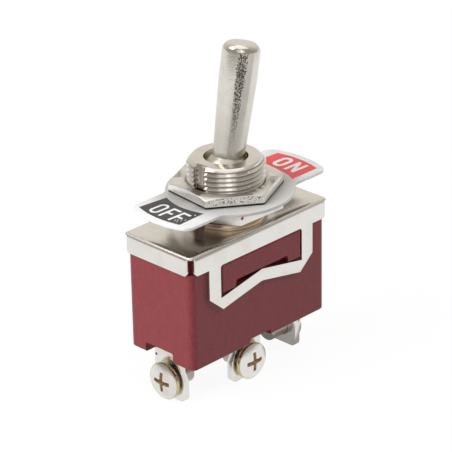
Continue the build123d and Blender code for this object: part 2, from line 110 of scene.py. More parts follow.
def remap(made, value, low, high, to_low=0.0, to_high=1.0):
    """The value's stretch from low to high, spread over to_low to to_high and held there."""
    node = made.node_tree.nodes.new("ShaderNodeMapRange")
    node.interpolation_type = "SMOOTHSTEP"
    for name, number in (("From Min", low), ("From Max", high), ("To Min", to_low), ("To Max", to_high)):
        node.inputs[name].default_value = number
    link(made, value, node.inputs["Value"])
    return node.outputs["Result"]


def between(made, value, stops):
    """0 up to the first stop, 1 from the second to the third, and 0 from the fourth."""
    rise = remap(made, value, stops[0], stops[1])
    return maths(made, "MULTIPLY", rise, remap(made, value, stops[2], stops[3], 1, 0))


def maths(made, operation, first, second=0.0):
    """One step of arithmetic. Each value is a number or a socket."""
    node = made.node_tree.nodes.new("ShaderNodeMath")
    node.operation = operation
    for socket, value in zip(node.inputs, (first, second)):
        if isinstance(value, (int, float)):
            socket.default_value = value
        else:
            link(made, value, socket)
    return node.outputs["Value"]


def product(made, *factors):
    """All the factors multiplied."""
    result = factors[0]
    for factor in factors[1:]:
        result = maths(made, "MULTIPLY", result, factor)
    return result


def sum_of_squares(made, first, second):
    """The squares of two values, added."""
    return maths(
        made, "ADD", maths(made, "MULTIPLY", first, first), maths(made, "MULTIPLY", second, second),
    )


def distance_2d(made, first, second):
    """The length of a flat vector, such as a point's distance from the Z axis."""
    return maths(made, "SQRT", sum_of_squares(made, first, second))


def blend_colours(made, factor, first, second):
    """The first colour at factor 0 and the second at 1. A colour is three numbers or a socket."""
    node = made.node_tree.nodes.new("ShaderNodeMix")
    node.data_type = "RGBA"
    link(made, factor, node.inputs["Factor"])
    colour_inputs = [s for s in node.inputs if s.type == "RGBA"]
    for socket, value in zip(colour_inputs, (first, second)):
        if isinstance(value, tuple):
            socket.default_value = (*value, 1)
        else:
            link(made, value, socket)
    return next(s for s in node.outputs if s.type == "RGBA")


def bump(made, height, depth, strength=1.0, under=None):
    """A bump of that depth in metres, over another bump's normal if one is given."""
    node = made.node_tree.nodes.new("ShaderNodeBump")
    node.inputs["Strength"].default_value = strength
    node.inputs["Distance"].default_value = depth
    link(made, height, node.inputs["Height"])
    if under is not None:
        link(made, under, node.inputs["Normal"])
    return node.outputs["Normal"]


def split(made, vector):
    """The vector's X, Y and Z."""
    node = made.node_tree.nodes.new("ShaderNodeSeparateXYZ")
    link(made, vector, node.inputs["Vector"])
    return node.outputs


def normal_of(made):
    """The X, Y and Z of the surface's direction."""
    return split(made, made.node_tree.nodes.new("ShaderNodeNewGeometry").outputs["Normal"])


def spot(made, point, centre, inner, outer):
    """1 within the inner distance of a point on the object, and 0 past the outer one, in millimetres."""
    distance = made.node_tree.nodes.new("ShaderNodeVectorMath")
    distance.operation = "DISTANCE"
    link(made, point, distance.inputs[0])
    distance.inputs[1].default_value = centre
    return remap(made, distance.outputs["Value"], inner, outer, 1, 0)


def paint(made, colour=None, roughness=None, normal=None):
    """Links what is given to the shader."""
    shader = shader_of(made)
    if colour is not None:
        link(made, colour, shader.inputs["Base Color"])
    if roughness is not None:
        link(made, roughness, shader.inputs["Roughness"])
    if normal is not None:
        link(made, normal, shader.inputs["Normal"])


# Mesh helpers

SHARP_ANGLE = 35.0
FLAT_ANGLE = 0.3
WELD_DISTANCE = 0.0005 * MM


def shade_by_angle(mesh, angle=SHARP_ANGLE):
    """Smooth shading that breaks at edges sharper than the angle in degrees."""
    mesh.shade_smooth()
    mesh.set_sharp_from_angle(angle=math.radians(angle))


def new_piece(name, mesh, material, body="switch_body"):
    """An object with that mesh and material, riding on a CAD body unless the body is None."""
    piece = bpy.data.objects.new(name, mesh)
    bpy.context.scene.collection.objects.link(piece)
    mesh.materials.clear()
    mesh.materials.append(material)
    if body:
        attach(piece, body)
    return piece


def softened(node, rounding, segments=2):
    """A mesh like the CAD node's, joined up, with its sharp edges broken by that radius if it isn't 0."""
    work = bmesh.new()
    work.from_mesh(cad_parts[node].data)
    bmesh.ops.remove_doubles(work, verts=work.verts, dist=WELD_DISTANCE)
    bmesh.ops.dissolve_limit(
        work, angle_limit=math.radians(FLAT_ANGLE), verts=work.verts, edges=work.edges,
    )
    if rounding:
        sharp = [
            e for e in work.edges
            if len(e.link_faces) == 2 and e.calc_face_angle(0) > math.radians(SHARP_ANGLE)
        ]
        bmesh.ops.bevel(
            work, geom=sharp, offset=rounding, segments=segments, profile=0.5,
            affect="EDGES", clamp_overlap=True, harden_normals=False,
        )
    bmesh.ops.triangulate(work, faces=[f for f in work.faces if len(f.verts) > 4])
    mesh = bpy.data.meshes.new(node + "_shape")
    work.to_mesh(mesh)
    work.free()
    shade_by_angle(mesh)
    return mesh


# Finishes

MAROON = (0.19, 0.027, 0.034)
MAROON_DARK, MAROON_PALE = (0.165, 0.021, 0.027), (0.235, 0.037, 0.045)
MAROON_CLOUD = (0.2, 0.024, 0.028)


def phenolic():
    """Maroon moulding compound: fine mottling, faint flow lines and a satin surface."""
    made = new_material("maroon_phenolic", MAROON, 0.36, Specular_IOR_Level=0.36)
    point = place(made)
    broad = noise(made, point, 0.22, 2)
    mottle = noise(made, point, 2.4, 5, 0.7)
    flow = noise(made, place(made, stretch=(1, 1, 0.3), turn=(0.5, 0.4, 0)), 1.6, 4)
    mixed = maths(made, "ADD", maths(made, "MULTIPLY", mottle, 0.7), maths(made, "MULTIPLY", flow, 0.3))
    tone = blend_colours(made, remap(made, mixed, 0.32, 0.68), MAROON_DARK, MAROON_PALE)
    tone = blend_colours(made, remap(made, broad, 0.35, 0.65, 0, 0.4), tone, MAROON_CLOUD)
    grain = noise(made, point, 5.0, 4, 0.65)
    normal = bump(made, grain, 0.012 * MM, 0.6)
    normal = bump(made, flow, 0.03 * MM, 0.4, normal)
    paint(made, tone, remap(made, mottle, 0.25, 0.75, 0.3, 0.46), normal)
    return made


def nickel(name, colour, dark, roughness, spread=0.05, grain=0.006, line=None, line_depth=0.0, marks=None):
    """Warm nickel plating: faint stains, uneven polish, and where they are given, tool lines and marks."""
    made = new_material(name, colour, roughness, 1.0)
    point = place(made)
    stain = noise(made, point, 0.3, 3)
    speck = noise(made, point, 3.2, 4, 0.7)
    tone = blend_colours(made, remap(made, stain, 0.42, 0.72), colour, dark)
    polish = remap(made, speck, 0.3, 0.75, roughness - spread, roughness + spread)
    normal = bump(made, speck, grain * MM)
    if line is not None:
        lines = noise(made, line(made), 1.0, 3, 0.6)
        normal = bump(made, lines, line_depth * MM, 1.0, normal)
    if marks is not None:
        tone, normal = marks(made, point, tone, normal)
    paint(made, tone, polish, normal)
    return made


# Stains, wear, painted shade and painted reflections, with their places, heights and radii on the object in
# millimetres
PIT_BROWN, CONTACT_SHADE_BLACK, CAST_SKIN = (0.3, 0.24, 0.2), (0.05, 0.035, 0.03), (0.96, 0.95, 0.93)
RUST_RED = (0.25, 0.05, 0.04)
NUT_SPOT = (-4.38, -7.5, 3.06)
NUT_SIDE_FOOT = (4.6, 4.7)
NUT_PIT_FOOT = (4.95, 5.1)
# Heights of the painted contact shade round the upper nut's foot, where it meets the plate
NUT_FOOT_SHADE = (4.4, 4.45, 4.78, 4.88)
PITTED_SIDE = (-0.7, -0.7)


def cast_sides_and_foot_shade(made, point, tone, normal):
    """A pale cast skin on the upper nut's sides over painted dark contact shade at its foot, pitted on the
    side between -X and -Y.

    The lower nut lies below these heights and gets only a red speck.
    """
    across, along, upward = normal_of(made)
    side = remap(made, maths(made, "ABSOLUTE", upward), 0.2, 0.5, 1, 0)
    towards = maths(
        made, "ADD", maths(made, "MULTIPLY", across, PITTED_SIDE[0]),
        maths(made, "MULTIPLY", along, PITTED_SIDE[1]),
    )
    pitted = remap(made, towards, 0.75, 0.9, 0.05, 1)
    height = split(made, point)[2]
    grain = remap(made, noise(made, point, 4.0, 3, 0.7), 0.52, 0.6)
    pits = product(made, side, pitted, remap(made, height, *NUT_PIT_FOOT), grain)
    pale = product(made, side, remap(made, height, *NUT_SIDE_FOOT))
    tone = blend_colours(made, pale, tone, CAST_SKIN)
    tone = blend_colours(made, pits, tone, PIT_BROWN)
    # Painted shade: a near-black band round the upper nut's foot
    tone = blend_colours(made, between(made, height, NUT_FOOT_SHADE), tone, CONTACT_SHADE_BLACK)
    tone = blend_colours(made, spot(made, point, NUT_SPOT, 0.22, 0.32), tone, RUST_RED)
    return tone, bump(made, pits, -0.025 * MM, 1.0, normal)


# Painted colours on the bushing: brown shade in the keyway and the grooves, and a brass reflection at its
# foot
SHADE_BROWN, FOOT_REFLECTION_BRASS = (0.2, 0.15, 0.12), (0.6, 0.42, 0.25)
KEYWAY_EDGE = (0.95, 1.08)
KEYWAY_FLOOR = (-5.5, -5.35, -5.0, -4.6)
KEYWAY_FOOT = (6.3, 7.0)
GROOVE_RADII = (5.5, 5.52, 5.62, 5.76)
GROOVES_END = (9.1, 9.2)
FOOT_REFLECTION_HEIGHT = (0.9, 1.4)


def bushing_shade_and_reflection(made, point, tone, normal):
    """Painted shade, brown in the keyway and dark in the thread's grooves, and a painted brass reflection on
    the foot under the lower nut.
    """
    x, y, z = split(made, point)
    inside = remap(made, maths(made, "ABSOLUTE", y), *KEYWAY_EDGE, 1, 0)
    streaks = remap(made, noise(made, place(made, stretch=(3, 3, 0.15)), 1.0, 2), 0.35, 0.6, 0.3, 0.85)
    foot = remap(made, z, *KEYWAY_FOOT, 1, 0)
    brown = maths(made, "MAXIMUM", streaks, foot)
    keyway_shade = product(made, inside, between(made, x, KEYWAY_FLOOR), brown)
    threaded_part = remap(made, z, *GROOVES_END, 1, 0)
    groove = product(made, between(made, distance_2d(made, x, y), GROOVE_RADII), threaded_part, 0.65)
    # Painted reflection: a brassy tint at the bushing's foot
    tone = blend_colours(made, remap(made, z, *FOOT_REFLECTION_HEIGHT, 0.75, 0), tone, FOOT_REFLECTION_BRASS)
    # Painted shade in the keyway, darkest at its foot, and in the thread's grooves
    tone = blend_colours(made, maths(made, "MAXIMUM", keyway_shade, groove), tone, SHADE_BROWN)
    return tone, normal


SCREW_LEVEL = -23.35
SCREW_HEAD_RADIUS = 2.95
DOME_RISE = 0.65
END_DOME_TOP, MIDDLE_DOME_TOP = 14.45, 5.6
END_SCREW_Y = 0.5
END_SCREWS_X = (8.0, 8.1)
RIGHT_SCREW_X = (5.0, 6.0)
END_SHANK_X, MIDDLE_SHANK_Y = (5.0, 6.0, 12.0, 12.4), (-3.6, -3.2)
RECESS_DEPTH, RECESS_FLOOR = (0.03, 0.15), 1.1
HEAD_DEPTH = 1.3
RECESS_SQUARED, RIM_SQUARED = (3.2, 4.0), (7.6, 8.4)
RECESS_SHADE_BROWN, RIM_BRASS, SHANK_SHADE_GREY = (0.5, 0.39, 0.28), (0.62, 0.5, 0.3), (0.4, 0.36, 0.32)


def screw_rims_and_shade(made, point, tone, normal):
    """Painted brown shade in the cross recesses, where a face lies deeper than its dome, painted grey shade
    on the shanks, and brass rims on the left and the middle screw."""
    x, y, z = split(made, point)
    height = maths(made, "SUBTRACT", z, SCREW_LEVEL)
    end_screw = remap(made, maths(made, "ABSOLUTE", x), *END_SCREWS_X)
    middle_screw = maths(made, "SUBTRACT", 1.0, end_screw)

    def stain(out, across, dome_top):
        """Where a screw has its recess, which gets painted shade, and its rim, for a screw whose axis points
        along out.
        """
        squared = sum_of_squares(made, across, height)
        fall = maths(made, "MULTIPLY", squared, DOME_RISE / SCREW_HEAD_RADIUS ** 2)
        depth = maths(made, "SUBTRACT", maths(made, "SUBTRACT", dome_top, fall), out)
        above_floor = remap(made, out, dome_top - RECESS_FLOOR, dome_top - RECESS_FLOOR + 0.1)
        within_cross = remap(made, squared, *RECESS_SQUARED, 1, 0)
        recess = product(made, remap(made, depth, *RECESS_DEPTH), within_cross, above_floor)
        on_head = remap(made, out, dome_top - HEAD_DEPTH, dome_top - HEAD_DEPTH + 0.1)
        return recess, product(made, remap(made, squared, *RIM_SQUARED), on_head)

    def either(end_value, middle_value):
        """The first value on the end screws, and the second on the middle one."""
        return maths(
            made, "MAXIMUM", product(made, end_value, end_screw), product(made, middle_value, middle_screw),
        )

    recess_end, rim_end = stain(
        maths(made, "ABSOLUTE", x), maths(made, "SUBTRACT", y, END_SCREW_Y), END_DOME_TOP,
    )
    recess_middle, rim_middle = stain(maths(made, "MULTIPLY", y, -1.0), x, MIDDLE_DOME_TOP)
    rim = product(made, either(rim_end, rim_middle), remap(made, x, *RIGHT_SCREW_X, 1, 0))
    # Painted shade: grey on the shanks
    shaded_shank_end = between(made, maths(made, "ABSOLUTE", x), END_SHANK_X)
    shaded_shank_middle = product(made, middle_screw, remap(made, y, *MIDDLE_SHANK_Y))
    tone = blend_colours(made, maths(made, "MAXIMUM", shaded_shank_end, shaded_shank_middle), tone, SHANK_SHADE_GREY)
    tone = blend_colours(made, rim, tone, RIM_BRASS)
    # Painted shade: brown in the cross recesses
    return blend_colours(made, either(recess_end, recess_middle), tone, RECESS_SHADE_BROWN), normal


TERMINAL_SPOT = (-12.8, 2.95, -19.89)
PIT_BLACK = (0.05, 0.02, 0.02)


def terminal_spot(made, point, tone, normal):
    """One small dark pit on the left terminal."""
    return blend_colours(made, spot(made, point, TERMINAL_SPOT, 0.16, 0.28), tone, PIT_BLACK), normal


# The lever is turned upright about the origin for its marks, which takes its axis to this X
LEVER_AXIS_X = -PIVOT.z / MM * math.sin(LEVER_LEAN)
# The streak sits where a dark reflection falls on the lever, and its dark pits paint part of that reflection
STREAK_AZIMUTH = math.radians(-131)
STREAK_FOOT, STREAK_TOP = (10.6, 13.0), (25.4, 25.9)
STREAK_HALF_ANGLES = (math.radians(8), math.radians(19))
STREAK_REFLECTION_DARK = (0.16, 0.13, 0.12)


def upright_lever(made):
    """The X, Y and Z of the point with the lever turned upright, in millimetres."""
    return split(made, place(made, turn=(0, -LEVER_LEAN, 0)))


def lever_pits_and_reflection(made, point, tone, normal):
    """A streak of fine dark pits along the lever's side between -X and -Y, where a dark reflection falls;
    their dark colour paints part of that reflection. It narrows downwards.
    """
    x, y, z = upright_lever(made)
    azimuth = maths(made, "ARCTAN2", y, maths(made, "SUBTRACT", x, LEVER_AXIS_X))
    aside = maths(made, "ABSOLUTE", maths(made, "SUBTRACT", azimuth, STREAK_AZIMUTH))
    reach = remap(made, z, 11.0, 24.0, *STREAK_HALF_ANGLES)
    core = remap(made, maths(made, "DIVIDE", aside, reach), 0.5, 1.2, 1, 0)
    core = product(made, core, remap(made, z, *STREAK_FOOT), remap(made, z, *STREAK_TOP, 1, 0))
    speck = noise(made, place(made, stretch=(1, 1, 0.8)), 4.8, 2, 0.7)
    pits = remap(made, maths(made, "ADD", speck, maths(made, "MULTIPLY", core, 0.27)), 0.7, 0.77)
    tone = blend_colours(made, pits, tone, STREAK_REFLECTION_DARK)
    return tone, bump(made, pits, -0.02 * MM, 1.0, normal)


LEVER_BALL, LEVER_FOOT = (9.6, 10.8), (10.5, 19.0)
LEVER_TIP, DULL_TIP = (26.2, 26.9), (26.4, 26.9)
LEVER_WARM, LEVER_STAIN = (0.755, 0.725, 0.665), (0.69, 0.65, 0.58)
LEVER_FOOT_BROWN, LEVER_TIP_PALE = (0.6, 0.565, 0.5), (0.84, 0.825, 0.785)


def lever_plating():
    """Nickel with fine rings and the streak of pits that paints part of a dark reflection, browner at the
    lever's foot, and duller at its tip and ball."""
    made = nickel(
        "lever_plating", LEVER_WARM, LEVER_STAIN, 0.16, spread=0.04, grain=0.008,
        line=turned_lines, line_depth=0.008, marks=lever_pits_and_reflection,
    )
    along = upright_lever(made)[2]
    polish = shader_of(made).inputs["Roughness"].links[0].from_socket
    dull_tip = remap(made, along, *DULL_TIP, 0, 0.48)
    dull_ball = remap(made, along, *LEVER_BALL, 0.3, 0)
    tone = shader_of(made).inputs["Base Color"].links[0].from_socket
    tone = blend_colours(made, remap(made, along, *LEVER_FOOT, 1, 0), tone, LEVER_FOOT_BROWN)
    tone = blend_colours(made, remap(made, along, *LEVER_TIP), tone, LEVER_TIP_PALE)
    dull = maths(made, "ADD", dull_tip, dull_ball)
    paint(made, tone, maths(made, "MAXIMUM", polish, dull))
    return made


def turned_lines(made):
    """Coordinates that change fast along the lever and hardly round it, for the marks of turning."""
    node = made.node_tree.nodes.new("ShaderNodeCombineXYZ")
    for value, stretch, socket in zip(upright_lever(made), (0.12, 0.12, 3.5), node.inputs):
        link(made, maths(made, "MULTIPLY", value, stretch), socket)
    return node.outputs["Vector"]


def upright_lines(made):
    """Coordinates that change fast along the bushing's axis, for what is turned about it."""
    return place(made, stretch=(0.25, 0.25, 6.0))


def rolled_lines(made):
    """Faint rolling lines along X on the cover's sheet."""
    return place(made, stretch=(0.3, 4.0, 4.0))


def plain(name, colour, other, roughness, metallic=0.0):
    """A finish for the enamel, the inks and the pieces inside the switch, with a little variation."""
    made = new_material(name, colour, roughness, metallic)
    point = place(made)
    tone = blend_colours(made, remap(made, noise(made, point, 1.2, 3), 0.3, 0.7), colour, other)
    grain = noise(made, point, 5.0, 3, 0.65)
    rough = remap(made, grain, 0.3, 0.7, roughness - 0.05, roughness + 0.07)
    paint(made, tone, rough, bump(made, grain, 0.005 * MM, 0.4))
    return made


NUT_SHADE_RADII = (8.6, 13.0)
NUT_SHADE_GREY, UNDERSIDE_SHADE_BROWN = (0.42, 0.412, 0.395), (0.22, 0.16, 0.1)


def enamel():
    """White enamel with painted grey shade round the nut, and the plate's underside painted dark brown for
    the shade under it.
    """
    made = plain("white_enamel", (0.74, 0.74, 0.745), (0.7, 0.7, 0.705), 0.3)
    below = remap(made, normal_of(made)[2], -0.9, -0.6, 1, 0)
    painted = shader_of(made).inputs["Base Color"].links[0].from_socket
    x, y, z = split(made, place(made))
    # Painted shade: grey on the enamel round the nut
    nut_shade = remap(made, distance_2d(made, x, y), *NUT_SHADE_RADII, 0.85, 0)
    tone = blend_colours(made, nut_shade, painted, NUT_SHADE_GREY)
    # Painted shade: the plate's underside in dark brown
    paint(made, blend_colours(made, below, tone, UNDERSIDE_SHADE_BROWN))
    return made


WARM = (0.79, 0.765, 0.72)
PALE = (0.83, 0.81, 0.775)
STAIN = (0.71, 0.67, 0.61)

finishes = {
    "phenolic": phenolic(),
    "cover_nickel": nickel(
        "cover_plating", PALE, (0.78, 0.755, 0.715), 0.24, line=rolled_lines, line_depth=0.004,
    ),
    "fibre": plain("brown_fibre", (0.3, 0.17, 0.08), (0.38, 0.23, 0.12), 0.7),
    "bushing_nickel": nickel(
        "bushing_plating", WARM, STAIN, 0.19, line=upright_lines, line_depth=0.004, marks=bushing_shade_and_reflection,
    ),
    "nut_nickel": nickel("nut_plating", PALE, STAIN, 0.36, grain=0.003, marks=cast_sides_and_foot_shade),
    "plate_enamel": enamel(),
    "steel": plain("bright_steel", (0.6, 0.6, 0.6), (0.5, 0.5, 0.5), 0.3, 1.0),
    "lever_nickel": lever_plating(),
    "nylon": plain("natural_nylon", (0.8, 0.77, 0.68), (0.74, 0.7, 0.6), 0.45),
    "contact_brass": plain("stamped_brass", (0.7, 0.5, 0.2), (0.62, 0.43, 0.16), 0.32, 1.0),
    "silver": plain("contact_silver", (0.85, 0.84, 0.8), (0.75, 0.73, 0.68), 0.25, 1.0),
    "terminal_nickel": nickel("terminal_plating", PALE, STAIN, 0.22, grain=0.01, marks=terminal_spot),
    "screw_nickel": nickel("screw_plating", PALE, STAIN, 0.2, 0.06, 0.015, marks=screw_rims_and_shade),
}
ink = {
    "black": plain("black_ink", (0.026, 0.026, 0.032), (0.038, 0.037, 0.043), 0.4),
    "red": plain("red_ink", (0.74, 0.07, 0.08), (0.68, 0.055, 0.065), 0.4),
    "white": plain("white_ink", (0.8, 0.8, 0.81), (0.76, 0.76, 0.77), 0.4),
}


# Every CAD node takes the finish of its own slot
SLOTS = {}
for name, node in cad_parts.items():
    SLOTS[name] = node.material_slots[0].material.name.split(".")[0]
    for material_slot in node.material_slots:
        material_slot.material = finishes[SLOTS[name]]


# Bushing's thread: one long groove, cut into a copy of the CAD bushing
THREAD_PITCH = 0.75 * MM
THREAD_START = 0.315 * MM
GROOVE_DEPTH = 0.45 * MM
GROOVE_FLAT = 0.04 * MM
GROOVE_CLEARANCE = 0.05 * MM
GROOVE_HALF_WIDTH = 0.46 * THREAD_PITCH
STEPS_PER_TURN = 90
BUSHING_EDGE_BREAK = 0.05 * MM


def groove_mesh():
    """A closed screw-shaped wedge, from below the thread to above the bushing's top."""
    work = bmesh.new()
    turns = (BUSHING_TOP + THREAD_PITCH - THREAD_START) / THREAD_PITCH
    outer = THREAD_RADIUS + GROOVE_CLEARANCE
    inner = THREAD_RADIUS - GROOVE_DEPTH
    section = [
        (outer, GROOVE_HALF_WIDTH), (outer, -GROOVE_HALF_WIDTH),
        (inner, -GROOVE_FLAT), (inner, GROOVE_FLAT),
    ]
    rings = []
    for step in range(int(turns * STEPS_PER_TURN)):
        angle = 2 * math.pi * step / STEPS_PER_TURN
        level = THREAD_START + THREAD_PITCH * step / STEPS_PER_TURN
        across = Vector((math.cos(angle), math.sin(angle), 0))
        rings.append([work.verts.new(across * r + Vector((0, 0, level + h))) for r, h in section])
    for first, second in zip(rings, rings[1:]):
        for i in range(4):
            j = (i + 1) % 4
            work.faces.new((first[i], first[j], second[j], second[i]))
    work.faces.new(reversed(rings[0]))
    work.faces.new(rings[-1])
    bmesh.ops.recalc_face_normals(work, faces=work.faces)
    mesh = bpy.data.meshes.new("groove")
    work.to_mesh(mesh)
    work.free()
    return mesh


CUT_SHARP_ANGLE = 30.0


def cut(mesh, tool_mesh):
    """That mesh with the tool taken away from it."""
    tool = bpy.data.objects.new("tool", tool_mesh)
    blank = bpy.data.objects.new("blank", mesh)
    for temporary in (tool, blank):
        bpy.context.scene.collection.objects.link(temporary)
    taken = blank.modifiers.new("cut", "BOOLEAN")
    taken.operation = "DIFFERENCE"
    taken.solver = "EXACT"
    taken.object = tool
    bpy.context.view_layer.update()
    evaluated = blank.evaluated_get(bpy.context.evaluated_depsgraph_get())
    result = bpy.data.meshes.new_from_object(evaluated)
    for temporary in (tool, blank):
        bpy.data.objects.remove(temporary)
    shade_by_angle(result, CUT_SHARP_ANGLE)
    return result


threaded = new_piece(
    "threaded_bushing", cut(softened("bushing", BUSHING_EDGE_BREAK, segments=1), groove_mesh()),
    finishes["bushing_nickel"],
)
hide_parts("bushing")


# Copies of the folded, stamped and turned pieces with their sharp edges broken
EDGE_BREAKS = {
    "cover_frame": 0.07 * MM,
    "on_off_plate": 0.1 * MM,
    "lower_nut": 0.12 * MM,
    "terminal_left": 0.08 * MM,
    "terminal_middle": 0.08 * MM,
    "terminal_right": 0.08 * MM,
    "screw_left": 0.06 * MM,
    "screw_middle": 0.06 * MM,
    "screw_right": 0.06 * MM,
}
LEVER_EDGE_BREAK = 0.04 * MM


def rounded(node, mesh, body="switch_body"):
    """A piece with that mesh in the node's place."""
    piece = new_piece("rounded_" + node, mesh, finishes[SLOTS[node]], body)
    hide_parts(node)


for node, rounding in EDGE_BREAKS.items():
    rounded(node, softened(node, rounding))
rounded("lever", softened("lever", LEVER_EDGE_BREAK), "lever")


# Spring in the lever's tail: a copy of the CAD spring that rides on no body
coil_spring = new_piece(
    "coil_spring", softened("plunger_spring", 0), finishes["steel"], None,
)
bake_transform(coil_spring)
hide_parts("plunger_spring")


# Upper nut: the mouth of its thread is countersunk, which leaves a dark line round the bushing
UPPER_NUT_TOP = 6.15 * MM
UPPER_NUT_EDGE_BREAK = 0.12 * MM
COUNTERSINK_RADIUS = 6.35 * MM


def countersink_mesh():
    """A cone on the bushing's axis, as wide as the countersink where it meets the nut's top face."""
    work = bmesh.new()
    depth = 0.6 * MM
    bmesh.ops.create_cone(
        work, cap_ends=True, segments=96, radius1=COUNTERSINK_RADIUS - depth,
        radius2=COUNTERSINK_RADIUS + depth, depth=2 * depth,
        matrix=Matrix.Translation((0, 0, UPPER_NUT_TOP)),
    )
    mesh = bpy.data.meshes.new("countersink")
    work.to_mesh(mesh)
    work.free()
    return mesh


rounded("upper_nut", cut(softened("upper_nut", UPPER_NUT_EDGE_BREAK), countersink_mesh()))


# Print on the plate: each piece starts a little below the plate's top face, and its thickness counts from it
PRINT_TURN = math.radians(-2.3)
PRINT_DEPTH = 0.002 * MM
FIELD_THICKNESS = 0.012 * MM
WEAR_THICKNESS = 0.016 * MM
LETTER_THICKNESS = 0.024 * MM


def printed(name, outlines, thickness, material):
    """Flat shapes raised from the plate's top face. Each is an outer outline and an inner one of as many
    points, or None where it has no hole."""
    work = bmesh.new()
    for outer, inner in outlines:
        loops = [outer] if inner is None else [outer, inner]
        walls = []
        for loop in loops:
            low = [work.verts.new((x, y, PLATE_TOP - PRINT_DEPTH)) for x, y in loop]
            high = [work.verts.new((x, y, PLATE_TOP + thickness)) for x, y in loop]
            walls.append((low, high))
            for i in range(len(loop)):
                j = (i + 1) % len(loop)
                work.faces.new((low[i], low[j], high[j], high[i]))
        for level in (0, 1):
            if inner is None:
                work.faces.new(walls[0][level])
                continue
            first, second = walls[0][level], walls[1][level]
            for i in range(len(first)):
                j = (i + 1) % len(first)
                work.faces.new((first[i], first[j], second[j], second[i]))
    bmesh.ops.recalc_face_normals(work, faces=work.faces)
    bmesh.ops.triangulate(work, faces=work.faces, ngon_method="EAR_CLIP")
    mesh = bpy.data.meshes.new(name)
    work.to_mesh(mesh)
    work.free()
    mesh.transform(Matrix.Translation(PLATE_CENTRE) @ Matrix.Rotation(PRINT_TURN, 4, "Z"))
    new_piece(name, mesh, material)


def field(side, inner, outer, inner_half_width, outer_half_width, steps=32):
    """A printed field between two arcs about the plate's centre."""
    points = []
    for radius, half_width, direction in ((outer, outer_half_width, 1), (inner, inner_half_width, -1)):
        reach = math.asin(half_width / radius)
        for i in range(steps + 1):
            angle = direction * reach * (2 * i / steps - 1)
            points.append((side * radius * math.cos(angle), radius * math.sin(angle)))
    return points


def stadium(centre, length, width, count=24):
    """A slot-shaped outline, long in X, with that many points on each of its round ends."""
    points = []
    straight = (length - width) / 2
    for i in range(2 * count):
        angle = math.pi * (i + 0.5) / count
        shift = straight if math.cos(angle) > 0 else -straight
        points.append((
            centre[0] + shift + width / 2 * math.cos(angle),
            centre[1] + width / 2 * math.sin(angle),
        ))
    return points


def letter(shape, foot, left, height, width, stroke):
    """The outer and inner outline of an O, F or N. Its foot is towards -X, and it reads towards -Y."""
    def at(across, up):
        return (foot + up, left - across)

    h, w, s = height, width, stroke
    if shape == "O":
        centre = at(w / 2, h / 2)
        return stadium(centre, h, w), stadium(centre, h - 2 * s, w - 2 * s)
    if shape == "F":
        middle, arm = 0.56 * h, 0.85 * w
        corners = [
            (0, 0), (s, 0), (s, middle - s), (arm, middle - s), (arm, middle),
            (s, middle), (s, h - s), (w, h - s), (w, h), (0, h),
        ]
        return [at(*c) for c in corners], None
    notch = 0.62 * h
    corners = [
        (0, 0), (s, 0), (s, notch), (w - s, 0), (w, 0), (w, h), (w - s, h),
        (w - s, h - notch), (s, h), (0, h),
    ]
    return [at(*c) for c in corners], None


OFF_FOOT, ON_FOOT = -14.3 * MM, 10.45 * MM
off_field = field(-1, 10.04 * MM, 15.0 * MM, 4.06 * MM, 4.45 * MM)
on_field = field(1, 9.75 * MM, 14.8 * MM, 4.5 * MM, 4.25 * MM)
printed("off_field", [(off_field, None)], FIELD_THICKNESS, ink["black"])
printed("on_field", [(on_field, None)], FIELD_THICKNESS, ink["red"])
printed(
    "off_letters",
    [
        letter("O", OFF_FOOT, 2.75 * MM, 3.4 * MM, 1.75 * MM, 0.42 * MM),
        letter("F", OFF_FOOT, 0.35 * MM, 3.35 * MM, 1.65 * MM, 0.45 * MM),
        letter("F", OFF_FOOT, -1.75 * MM, 3.35 * MM, 1.65 * MM, 0.45 * MM),
    ],
    LETTER_THICKNESS,
    ink["white"],
)
printed(
    "on_letters",
    [
        letter("O", ON_FOOT, 2.2 * MM, 3.6 * MM, 2.1 * MM, 0.6 * MM),
        letter("N", ON_FOOT, -0.7 * MM, 3.5 * MM, 2.1 * MM, 0.55 * MM),
    ],
    LETTER_THICKNESS,
    ink["white"],
)


def sliver(start, end, width):
    """A thin pointed outline from start to end."""
    along = Vector(end) - Vector(start)
    aside = Vector((-along.y, along.x)).normalized() * width / 2
    middle = Vector(start) + along / 2
    return [tuple(start), tuple(middle - aside), tuple(end), tuple(middle + aside)]


# Wear on the black field: a chip and a few scratches down to the white
SCRATCH_WIDTH = 0.09 * MM
SCRATCHES = [
    ((-13.15 * MM, -2.55 * MM), (-14.2 * MM, -3.05 * MM)),
    ((-12.85 * MM, -2.75 * MM), (-14.25 * MM, -3.6 * MM)),
    ((-12.6 * MM, -3.2 * MM), (-13.6 * MM, -3.8 * MM)),
    ((-12.3 * MM, -3.7 * MM), (-13.1 * MM, -4.05 * MM)),
]
chip = stadium((-10.52 * MM, -3.64 * MM), 0.26 * MM, 0.24 * MM, 6)
wear = [(sliver(start, end, SCRATCH_WIDTH), None) for start, end in SCRATCHES]
printed("off_field_wear", [*wear, (chip, None)], WEAR_THICKNESS, ink["white"])


